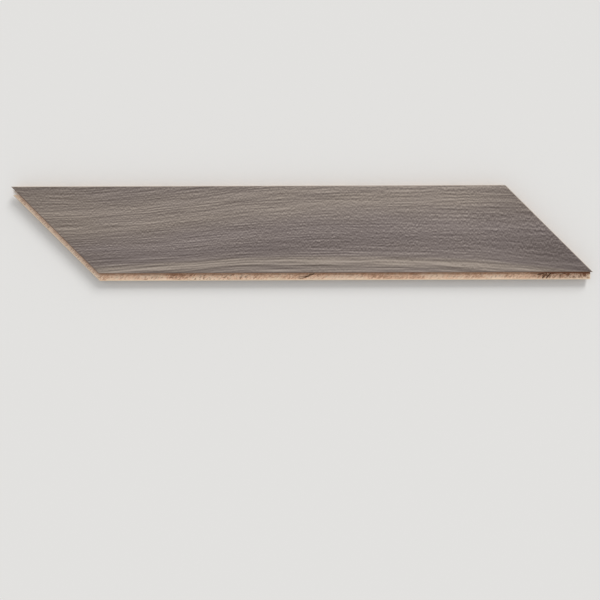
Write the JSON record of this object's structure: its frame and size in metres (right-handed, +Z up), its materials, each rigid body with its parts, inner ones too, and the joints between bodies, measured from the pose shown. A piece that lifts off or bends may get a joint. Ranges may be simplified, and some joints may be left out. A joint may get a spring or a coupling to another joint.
{
  "type": "parquet block",
  "caption": "Chevron parquet block: a mitred parallelogram with a hardwood wear layer on a plywood base, tongue and groove edges and relief kerfs sawn across the back.",
  "frame": {"origin": "middle of the block, halfway between the two long edges of its face and halfway between its tips, on the plane of its back", "axes": "+X along the grain and the long edges, from the tongued mitre to the grooved one; +Y across the block, from the tongued long edge to the grooved one; +Z up through the thickness, out of the face"},
  "size_m": [0.6, 0.0975, 0.015],
  "materials": {
    "walnut_face": "matte oil",
    "birch_plywood": "bare sanded"
  },
  "bodies": {
    "root": {"walnut_wear_layer": "walnut_face", "plywood_base": "birch_plywood"}
  },
  "joints": []
}
